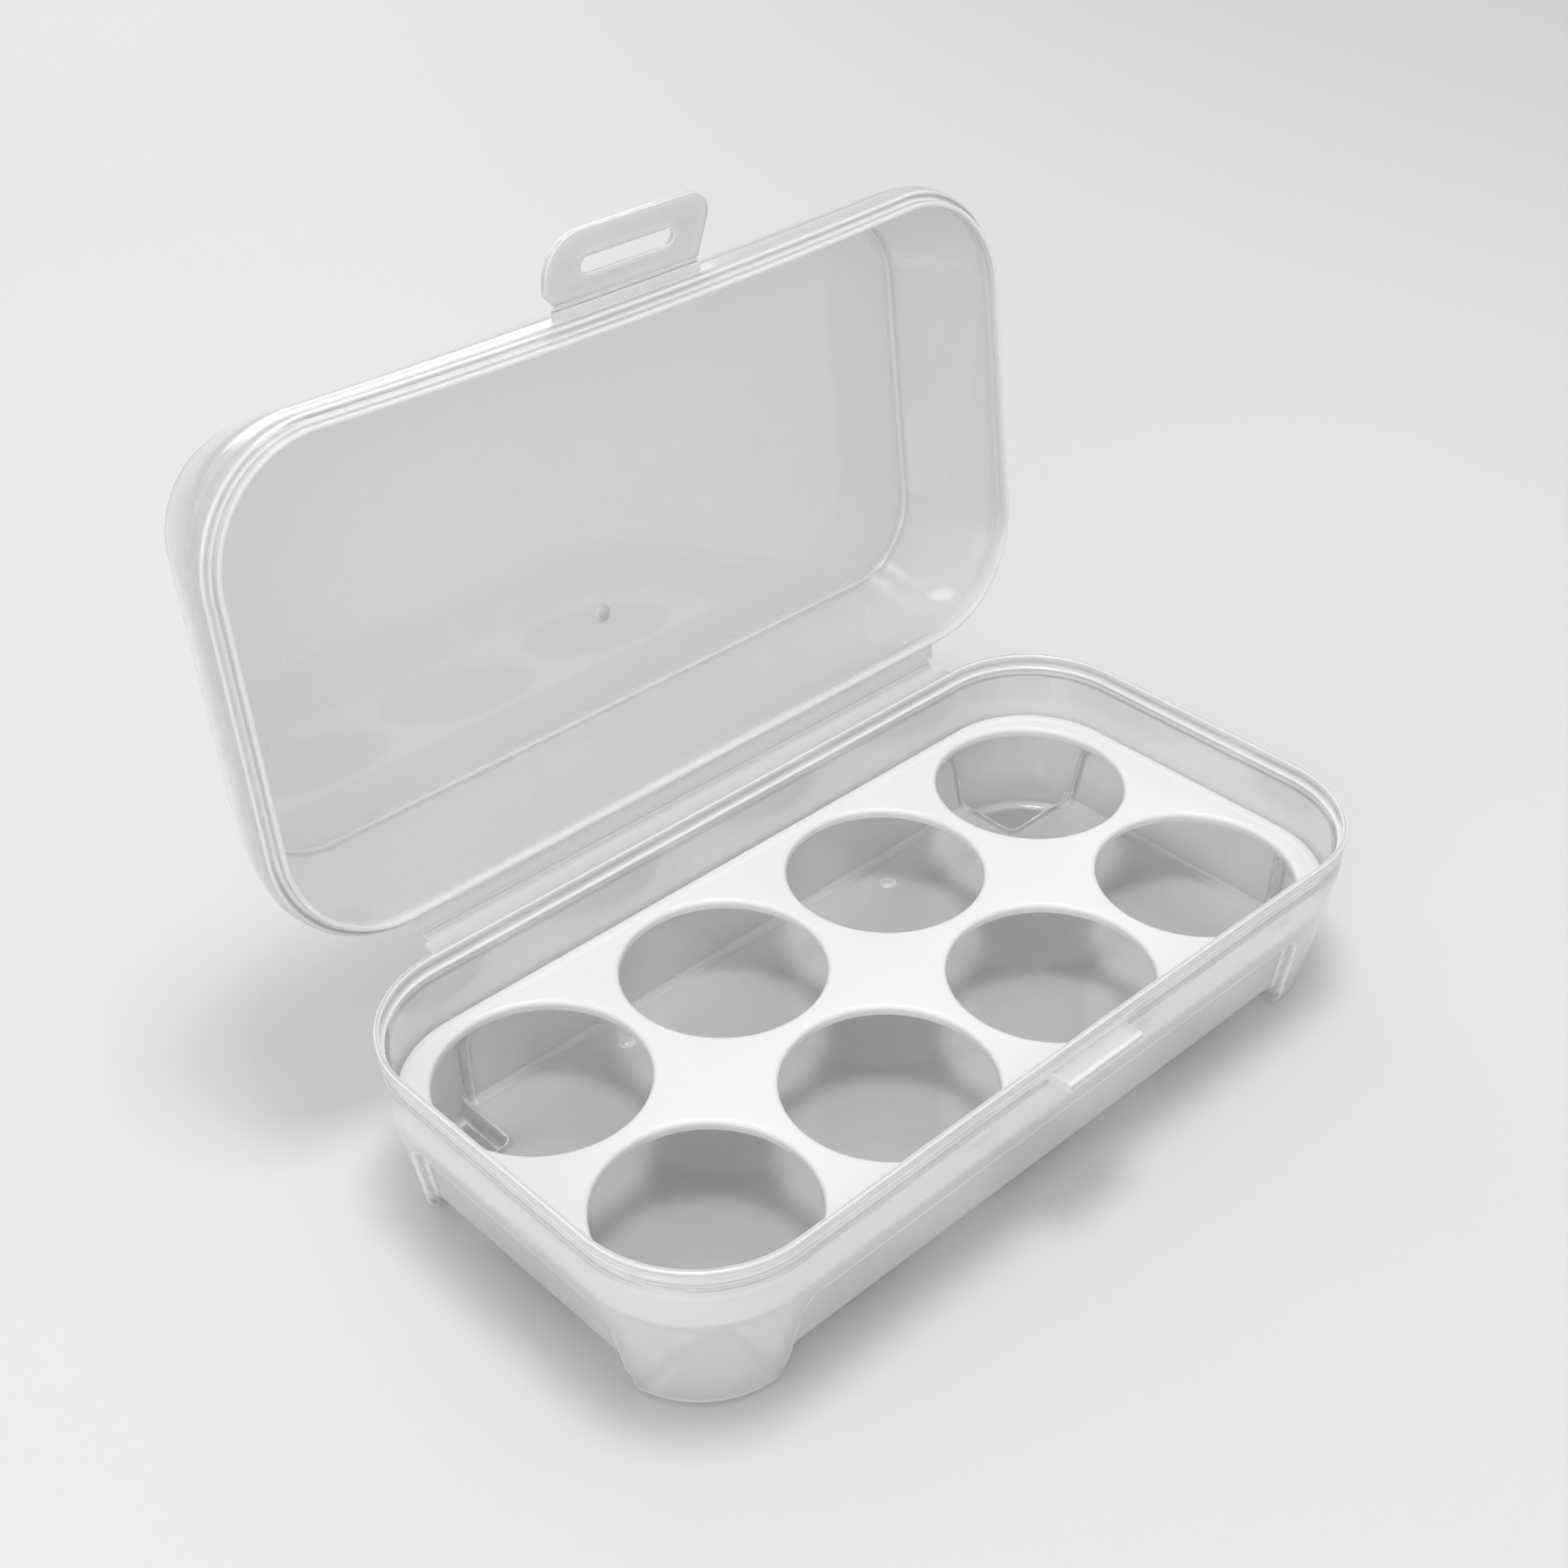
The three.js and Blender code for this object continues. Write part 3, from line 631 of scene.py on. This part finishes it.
def rounded_section(y0, y1, half_thick, radius):
    """A flat bar's section with rounded corners."""
    points = []
    corners = [(y1, half_thick, 0), (y0, half_thick, 1), (y0, -half_thick, 2), (y1, -half_thick, 3)]
    for y, z, quarter in corners:
        centre_y = y - math.copysign(radius, y - (y0 + y1) / 2)
        centre_z = z - math.copysign(radius, z)
        for step in range(4):
            angle = (quarter + step / 3) * math.pi / 2
            points.append((centre_y + radius * math.cos(angle), centre_z + radius * math.sin(angle)))
    return points


def film_section(start_angle, end_angle):
    """The section of a film bent from one side of its fold to the other, in the fold's own frame."""
    reach = GROOVE_HALF + FILM_SET_IN
    start = np.array((math.cos(start_angle), math.sin(start_angle))) * reach
    end = np.array((math.cos(end_angle), math.sin(end_angle))) * reach
    path = []
    for share in np.linspace(0, 1, 9):
        path.append((1 - share) ** 2 * start + share ** 2 * end)
    path = np.array(path)
    tangent = np.gradient(path, axis=0)
    tangent /= np.linalg.norm(tangent, axis=1)[:, None]
    side = np.column_stack([-tangent[:, 1], tangent[:, 0]]) * FILM_THICK / 2
    return [tuple(p) for p in path + side] + [tuple(p) for p in (path - side)[::-1]]


def make_film(name, fold, half_length, start_angle, end_angle):
    place = Matrix.Scale(MM, 4) @ Matrix.Translation(fold)
    return make_rod(name, film_section(start_angle, end_angle), half_length, place)


def tab_points(inward, steps=14):
    """The tab's outline moved in by inward, as (x, y) with the fold along y = 0."""
    half = TAB_HALF - inward
    tip = TAB_LENGTH - inward
    left = TAB_LEFT_RADIUS - inward
    right = TAB_RIGHT_RADIUS - inward
    root = TAB_ROOT_HALF - inward
    start = GROOVE_HALF + 0.15 + inward
    points = [(-root, -start), (-half + 0.5, -TAB_LEFT_FLARE + 0.4), (-half, -TAB_LEFT_FLARE - 0.4)]
    for step in range(steps + 1):
        angle = math.pi + step / steps * math.pi / 2
        points.append((-half + left + left * math.cos(angle), -tip + left + left * math.sin(angle)))
    for step in range(steps + 1):
        angle = 1.5 * math.pi + step / steps * math.pi / 2
        points.append((half - right + right * math.cos(angle), -tip + right + right * math.sin(angle)))
    points += [(half, -TAB_RIGHT_FLARE), (root, -start)]
    return points


def slot_points(outward, steps=12):
    """The slot's outline moved out by outward."""
    radius = SLOT_HEIGHT / 2 + outward
    centre = SLOT_HALF - SLOT_HEIGHT / 2
    points = []
    for end, first in ((centre, -math.pi / 2), (-centre, math.pi / 2)):
        for step in range(steps + 1):
            angle = first + step / steps * math.pi
            points.append((end + radius * math.cos(angle), -SLOT_FROM_FOLD + radius * math.sin(angle)))
    return points


def flat_piece(name, loops, z0, z1, round_by):
    """A flat solid between loops of points, the first round the outside, with rounded edges."""
    curve = bpy.data.curves.new(name, "CURVE")
    curve.dimensions = "2D"
    curve.fill_mode = "BOTH"
    curve.extrude = (z1 - z0) / 2 - round_by
    curve.bevel_depth = round_by
    curve.bevel_resolution = 2
    curve.offset = -round_by
    for loop in loops:
        spline = curve.splines.new("POLY")
        spline.points.add(len(loop) - 1)
        for point, (x, y) in zip(spline.points, loop):
            point.co = (x, y, 0, 1)
        spline.use_cyclic_u = True
    holder = bpy.data.objects.new(name, curve)
    bpy.context.scene.collection.objects.link(holder)
    bpy.context.view_layer.update()
    mesh = bpy.data.meshes.new_from_object(holder.evaluated_get(bpy.context.evaluated_depsgraph_get()))
    bpy.data.objects.remove(holder)
    mesh.transform(Matrix.Translation((0, 0, (z0 + z1) / 2)))
    vertices = [v.co.copy() for v in mesh.vertices]
    faces = [tuple(p.vertices) for p in mesh.polygons]
    return vertices, faces


def join_solids(base, others):
    """Unites closed pieces into the first one and removes the rest."""
    for other in others:
        modifier = base.modifiers.new("join", "BOOLEAN")
        modifier.operation = "UNION"
        modifier.solver = "EXACT"
        modifier.object = other
    bpy.context.view_layer.update()
    mesh = bpy.data.meshes.new_from_object(base.evaluated_get(bpy.context.evaluated_depsgraph_get()))
    base.modifiers.clear()
    base.data = mesh
    mesh.shade_smooth()
    mesh.set_sharp_from_angle(angle=math.radians(SHARP_DEGREES))
    for other in others:
        bpy.data.objects.remove(other)
    return base


def make_tab():
    half = TAB_THICK / 2
    low = half - 0.5
    layers = (
        ("latch_body", [tab_points(0), slot_points(0)], -half, half, 0.25),
        ("bead", [tab_points(0.05), tab_points(1.9)], low, half + 0.35, 0.25),
        ("border", [slot_points(1.5), slot_points(0.02)], low, half + 0.25, 0.2),
    )
    solids = []
    for name, loops, z0, z1, round_by in layers:
        vertices, faces = flat_piece(name, loops, z0, z1, round_by)
        solids.append(make_object(name, vertices, faces, TO_TAB))
    return join_solids(solids[0], solids[1:])


def make_strip():
    section = rounded_section(GROOVE_HALF, FOLD_SPACING - GROOVE_HALF, STRIP_THICK / 2, 0.2)
    return make_rod("strip_body", section, STRIP_HALF, TO_STRIP)


# ---------------------------------------------------------------- egg plate
def plate_outline():
    straight_x = PLATE_HALF_X - PLATE_RADIUS
    straight_y = PLATE_HALF_Y - PLATE_RADIUS
    x_lines = spread(0, straight_x, 8) + spread(straight_x + 0.8, straight_x + ARC_REACH, 0.8)
    y_lines = spread(0, straight_y, 8) + spread(straight_y + 0.8, straight_y + ARC_REACH, 0.8)
    return Outline(x_lines, y_lines, straight_x, straight_y, PLATE_RADIUS)


def cell_sides(x, y, margin):
    """The lowest and highest x, then y, of the cell round a hole, short of the plate's edge."""
    half_x = PLATE_HALF_X - margin
    half_y = PLATE_HALF_Y - margin
    low_x = -half_x if x < -HOLE_PITCH else x - HOLE_PITCH / 2
    high_x = half_x if x > HOLE_PITCH else x + HOLE_PITCH / 2
    low_y = -half_y if y < 0 else 0
    high_y = half_y if y > 0 else 0
    return low_x, high_x, low_y, high_y


def cell_reach(x, y, angle, margin):
    """Distance from a hole's centre to its cell's border, which ends on the plate's edge."""
    half_x = PLATE_HALF_X - margin
    half_y = PLATE_HALF_Y - margin
    radius = PLATE_RADIUS - margin
    dx, dy = math.cos(angle), math.sin(angle)
    low_x, high_x, low_y, high_y = cell_sides(x, y, margin)
    reach = min(
        ((high_x if dx > 0 else low_x) - x) / dx if abs(dx) > 1e-9 else 1e9,
        ((high_y if dy > 0 else low_y) - y) / dy if abs(dy) > 1e-9 else 1e9,
    )
    px, py = x + reach * dx, y + reach * dy
    corner_x = math.copysign(half_x - radius, x)
    corner_y = math.copysign(half_y - radius, y)
    beyond_x = (px - corner_x) * math.copysign(1, x)
    beyond_y = (py - corner_y) * math.copysign(1, y)
    if beyond_x > 0 and beyond_y > 0 and (low_x == -half_x or high_x == half_x):
        fx, fy = x - corner_x, y - corner_y
        b = fx * dx + fy * dy
        root = b * b - (fx * fx + fy * fy - radius * radius)
        reach = min(reach, -b + math.sqrt(max(root, 0)))
    return reach


def cell_angles(x, y, margin):
    """Even directions round a hole, with the nearest ones turned to the cell's corners."""
    count = 96
    angles = [2 * math.pi * k / count for k in range(count)]
    low_x, high_x, low_y, high_y = cell_sides(x, y, margin)
    for cx in (low_x, high_x):
        for cy in (low_y, high_y):
            corner = math.atan2(cy - y, cx - x) % (2 * math.pi)
            k = min(range(count), key=lambda n: abs(angles[n] - corner))
            angles[k] = corner
    return angles


def make_plate():
    """The sheet between the holes, with rolled lips, and the raised bead round its edge.

    Each hole has a cell of sheet. A cell has no faces down its outer side, where it meets its
    neighbours and the bead.
    """
    vertices = []
    faces = []
    lip = [(-2.2, 1.0), (-2.2, 0.15), (-2.1, 0.0), (-1.1, 0.0), (-0.75, 0.06), (-0.45, 0.22)]
    lip += [(-0.2, 0.5), (-0.05, 0.9), (0.0, 1.3)]
    for row in range(HOLE_ROWS):
        for column in range(HOLE_COLUMNS):
            x = (column - (HOLE_COLUMNS - 1) / 2) * HOLE_PITCH
            y = (row - (HOLE_ROWS - 1) / 2) * HOLE_PITCH
            angles = cell_angles(x, y, SHEET_MARGIN)
            rings = []
            reaches = [cell_reach(x, y, a, SHEET_MARGIN) for a in angles]
            levels = [(z, [HOLE_RADIUS + out] * len(angles)) for z, out in lip]
            outer_top = len(levels)
            levels.append((0.0, reaches))
            levels.append((-PLATE_THICK, reaches))
            levels.append((-PLATE_THICK, [HOLE_RADIUS + LIP_FOOT] * len(angles)))
            for z, radii in levels:
                rings.append(len(vertices))
                for angle, radius in zip(angles, radii):
                    vertices.append((x + radius * math.cos(angle), y + radius * math.sin(angle), z))
            rings.append(rings[0])
            count = len(angles)
            for level, (a, b) in enumerate(zip(rings[:-1], rings[1:])):
                if level == outer_top:
                    continue
                for k in range(count):
                    n = (k + 1) % count
                    faces.append((a + k, a + n, b + n, b + k))
    place = TO_BASE @ Matrix.Translation((0, 0, PLATE_TOP))
    sheet = make_object("egg_plate_body", vertices, faces, place)
    outline = plate_outline()
    shell = Shell(outline)
    bead = [(-PLATE_THICK + 0.2, 2.6), (-0.1, 2.9), (0.02, 2.75), (0.16, 2.3), (0.22, 1.7), (0.2, 1.2)]
    bead += [(0.1, 0.7), (-0.1, 0.3), (-0.4, 0.06), (-0.8, 0.0), (-1.5, 0.0), (-1.6, 0.1), (-1.6, 1.1)]
    bead += [(-1.5, 1.2), (-PLATE_THICK + 0.1, 1.3), (-PLATE_THICK + 0.2, 2.6)]
    shell.add_rows([outline.place(inset, z) for z, inset in bead])
    edge = make_object("egg_plate_edge", shell.vertices, shell.faces, place)
    return sheet, edge


def make_dome(name, x, y, z, radius, height, place):
    """A shallow closed dome, the mark of a moulding gate."""
    turns = 32
    rings = 6
    vertices = [(x, y, z + height)]
    for ring in range(1, rings + 1):
        angle = ring / rings * math.pi / 2
        for turn in range(turns):
            around = 2 * math.pi * turn / turns
            reach = radius * math.sin(angle)
            level = z + height * math.cos(angle)
            vertices.append((x + reach * math.cos(around), y + reach * math.sin(around), level))
    faces = [(0, 1 + k, 1 + (k + 1) % turns) for k in range(turns)]
    for ring in range(rings - 1):
        first = 1 + ring * turns
        for k in range(turns):
            n = (k + 1) % turns
            faces.append((first + k, first + turns + k, first + turns + n, first + n))
    faces.append(tuple(range(1 + (rings - 1) * turns, 1 + rings * turns)))
    return make_object(name, vertices, faces, place)


def make_gates():
    """The gate marks, each with its body: two on the base's floor and one on the lid's panel."""
    floor_top = FLOOR_UNDER + FLOOR_THICK
    panel = LID_EDGE_Z + LID_DEPTH
    gates = []
    for name, x in (("gate_left", -GATE_X), ("gate_right", GATE_X)):
        gate = make_dome(name, x, GATE_Y, floor_top - GATE_SUNK, GATE_RADIUS, GATE_RISE, TO_BASE)
        gates.append((gate, "base"))
    gate = make_dome("gate_lid", 0, LID_GATE_Y, panel + GATE_SUNK, GATE_RADIUS, -GATE_RISE, TO_LID)
    gates.append((gate, "lid"))
    return gates


# ---------------------------------------------------------------- materials
def new_material(name, base, rough, **sockets):
    material = bpy.data.materials.new(name)
    material.use_nodes = True
    shader = material.node_tree.nodes["Principled BSDF"]
    shader.inputs["Base Color"].default_value = (*base, 1)
    shader.inputs["Roughness"].default_value = rough
    for socket, value in sockets.items():
        shader.inputs[socket.replace("_", " ")].default_value = value
    return material, material.node_tree, shader


def add_texture(tree, scale, detail=3.0):
    coordinates = tree.nodes.new("ShaderNodeTexCoord")
    noise = tree.nodes.new("ShaderNodeTexNoise")
    noise.inputs["Scale"].default_value = scale
    noise.inputs["Detail"].default_value = detail
    tree.links.new(coordinates.outputs["Object"], noise.inputs["Vector"])
    return noise.outputs["Fac"]


def map_range(tree, value, low, high):
    node = tree.nodes.new("ShaderNodeMapRange")
    node.inputs["To Min"].default_value = low
    node.inputs["To Max"].default_value = high
    tree.links.new(value, node.inputs["Value"])
    return node.outputs["Result"]


def add_bump(tree, shader, height, strength, distance):
    bump = tree.nodes.new("ShaderNodeBump")
    bump.inputs["Strength"].default_value = strength
    bump.inputs["Distance"].default_value = distance
    tree.links.new(height, bump.inputs["Height"])
    tree.links.new(bump.outputs["Normal"], shader.inputs["Normal"])


def frosted_material(name, milk, grey):
    """Milky clear plastic: milk is the share that scatters, grey is what one wall lets through.

    Both rise where the surface bends sharply. This is partly the lighter look of the thicker plastic
    there and partly a painted highlight standing in for the bright reflections along rims and creases.
    """
    material, tree, shader = new_material(
        name, (grey, grey, grey), 0.1, IOR=1.49, Coat_Weight=0.6, Coat_Roughness=0.03
    )
    rough = map_range(tree, add_texture(tree, 70), 0.06, 0.12)
    tree.links.new(rough, shader.inputs["Roughness"])
    edge = tree.nodes.new("ShaderNodeAttribute")
    edge.attribute_name = EDGE_LAYER
    # Less light passes where the surface bends, so more of it scatters: part of the painted edge
    # highlight.
    clear = map_range(tree, edge.outputs["Fac"], 1 - milk, 0.3 * (1 - milk))
    tree.links.new(clear, shader.inputs["Transmission Weight"])
    tint = map_range(tree, add_texture(tree, 22, 2), grey - 0.015, grey + 0.015)
    # Painted highlight: the base colour turns lighter where the surface bends sharply.
    painted_edge_highlight = tree.nodes.new("ShaderNodeMath")
    painted_edge_highlight.operation = "MULTIPLY_ADD"
    painted_edge_highlight.inputs[1].default_value = 0.96 - grey
    tree.links.new(edge.outputs["Fac"], painted_edge_highlight.inputs[0])
    tree.links.new(tint, painted_edge_highlight.inputs[2])
    tree.links.new(painted_edge_highlight.outputs["Value"], shader.inputs["Base Color"])
    add_bump(tree, shader, add_texture(tree, 160, 2), 0.02, 0.0002)
    return material


def white_material():
    material, tree, shader = new_material("white_plastic", (0.86, 0.86, 0.855), 0.38, IOR=1.5)
    rough = map_range(tree, add_texture(tree, 120), 0.32, 0.46)
    tree.links.new(rough, shader.inputs["Roughness"])
    add_bump(tree, shader, add_texture(tree, 1500, 2), 0.12, 0.0001)
    return material


def floor_material():
    material, tree, shader = new_material("pale_floor", (0.72, 0.72, 0.72), 0.6)
    shade = map_range(tree, add_texture(tree, 6, 2), 0.715, 0.725)
    tree.links.new(shade, shader.inputs["Base Color"])
    return material


# ---------------------------------------------------------------- stage
def make_stage():
    bpy.ops.mesh.primitive_plane_add(size=8, location=(0, 0, 0))
    floor = bpy.context.object
    floor.name = "floor"
    floor.data.materials.append(floor_material())
    world = bpy.data.worlds.new("studio")
    world.use_nodes = True
    world.node_tree.nodes["Background"].inputs["Color"].default_value = (1, 1, 1, 1)
    world.node_tree.nodes["Background"].inputs["Strength"].default_value = 0.7
    bpy.context.scene.world = world
    bpy.context.scene.view_settings.view_transform = "Standard"
    target = Vector((0, 0, 0.04))
    for name, place, size, power in (
        ("overhead", (-0.03, -0.05, 0.95), 0.24, 3.2),
        ("left", (-0.9, -0.4, 0.5), 0.5, 2.0),
        ("back", (0.3, 0.9, 0.5), 0.7, 1.4),
    ):
        light = bpy.data.lights.new(name, "AREA")
        light.size = size
        light.energy = power
        lamp = bpy.data.objects.new(name, light)
        lamp.location = place
        lamp.rotation_euler = (target - Vector(place)).to_track_quat("-Z", "Y").to_euler()
        bpy.context.scene.collection.objects.link(lamp)


def make_camera():
    """The camera stands as measured from the centre of the egg plate's top."""
    low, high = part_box("egg_plate")
    centre = Vector((0, low[1] + PLATE_HALF_Y * MM, high[2]))
    data = bpy.data.cameras.new("camera")
    data.lens = CAMERA_LENS
    data.sensor_width = 36
    data.clip_start = 0.01
    camera = bpy.data.objects.new("camera", data)
    camera.location = centre + Vector(CAMERA_PLACE)
    camera.rotation_euler = [math.radians(a) for a in (90 - CAMERA_DOWN, CAMERA_ROLL, CAMERA_TURN)]
    bpy.context.scene.collection.objects.link(camera)
    bpy.context.scene.camera = camera


def finish_piece(piece, material, body, nodes=()):
    mark_edges(piece.data)
    piece.data.materials.clear()
    piece.data.materials.append(material)
    if nodes:
        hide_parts(*nodes)
    if body:
        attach(piece, body)


def main():
    make_camera()
    make_stage()
    frosted = frosted_material("frosted_plastic", 0.28, 0.9)
    # The base uses a lighter, milkier copy of the lid's plastic: painted light that brightens its
    # walls, its feet and the floors under the holes.
    base_painted_light = frosted_material("frosted_base_painted_light", 0.42, 0.95)
    film = frosted_material("film_fold", 0.5, 0.94)
    thick = frosted_material("gate_mark", 0.6, 0.9)
    white = white_material()
    finish_piece(make_base(), base_painted_light, "base", ["base_shell"])
    finish_piece(make_lid(), frosted, "lid", ["lid_shell"])
    finish_piece(make_strip(), frosted, "strip", ["hinge_strip"])
    finish_piece(make_tab(), frosted, "latch", ["latch_tab"])
    for gate, body in make_gates():
        finish_piece(gate, thick, body)
    sheet, edge = make_plate()
    finish_piece(sheet, white, "plate", ["egg_plate"])
    finish_piece(edge, white, "plate")

    lid_angle = math.pi - LID_OPENING
    tab_angle = math.pi + math.radians(TAB_OPEN_DEGREES) - LID_OPENING
    films = (
        (
            "base_fold_film", BASE_FOLD, STRIP_HALF, math.pi, STRIP_ANGLE,
            "base", "strip", "base_hinge_film",
        ),
        (
            "lid_fold_film", LID_FOLD, STRIP_HALF, math.pi + STRIP_ANGLE, lid_angle,
            "strip", "lid", "lid_hinge_film",
        ),
        (
            "latch_fold_film", LATCH_FOLD, TAB_ROOT_HALF, lid_angle - math.pi, tab_angle,
            "lid", "latch", "latch_film",
        ),
    )
    for name, fold, half, start_angle, end_angle, body_a, body_b, node in films:
        piece = make_film(name, fold, half - FILM_SHORTER, start_angle, end_angle)
        finish_piece(piece, film, None, [node])
        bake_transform(piece)


main()
bpy.context.view_layer.update()
